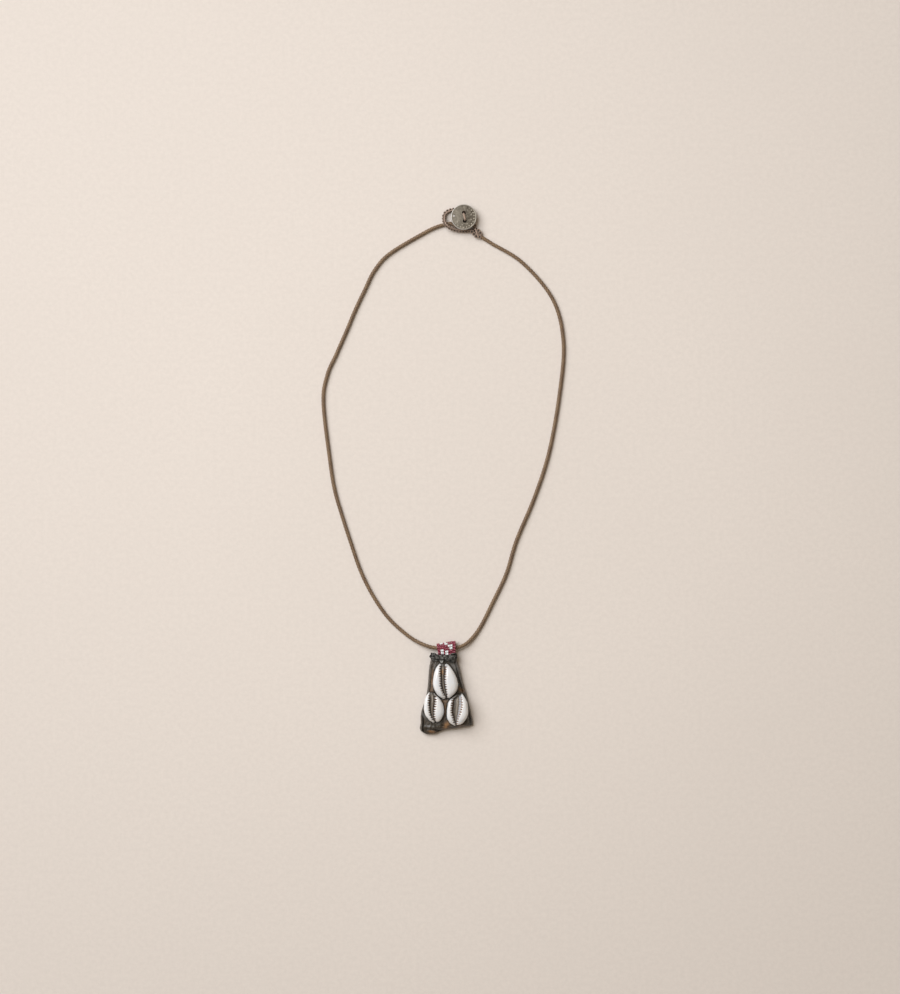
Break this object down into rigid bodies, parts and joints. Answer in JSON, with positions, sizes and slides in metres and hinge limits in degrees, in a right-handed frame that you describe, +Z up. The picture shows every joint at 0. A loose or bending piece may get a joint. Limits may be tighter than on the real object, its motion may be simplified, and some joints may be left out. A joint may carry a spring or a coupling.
{
  "type": "cowrie shell amulet necklace",
  "caption": "Cowrie shells on a small folded leather packet, hung by a beaded bail from a braided neck cord that closes with a coin button and a stitched loop.",
  "frame": {"origin": "on the surface the amulet lies on, under the middle of the pendant (packet, shells, bail and binding)", "axes": "+X to the wearer's left as the picture shows it (right in the picture), +Y along the pendant from its foot to its bail and on to the coin button, +Z up from the surface, out of the shells' mouths"},
  "size_m": [0.134, 0.2913, 0.0101],
  "materials": {
    "packet_leather": "blackened, worn, slightly glossy",
    "shell": "natural shell gloss",
    "seed_beads": "glossy opaque glass, crimson and white",
    "binding": "waxed dark thread",
    "cord": "waxed braid",
    "loop_thread": "waxed buttonhole stitch",
    "old_silver": "worn grey silver with darkened hollows",
    "sewing_thread": "pale twisted thread"
  },
  "bodies": {
    "root": {"packet": "packet_leather", "cowrie_top": "shell", "cowrie_left": "shell", "cowrie_right": "shell", "bead_bail": "seed_beads", "lashing": "binding", "neck_cord": "cord", "button_loop": "loop_thread", "loop_shank": "loop_thread", "coin_button": "old_silver", "button_thread": "sewing_thread"}
  },
  "joints": []
}
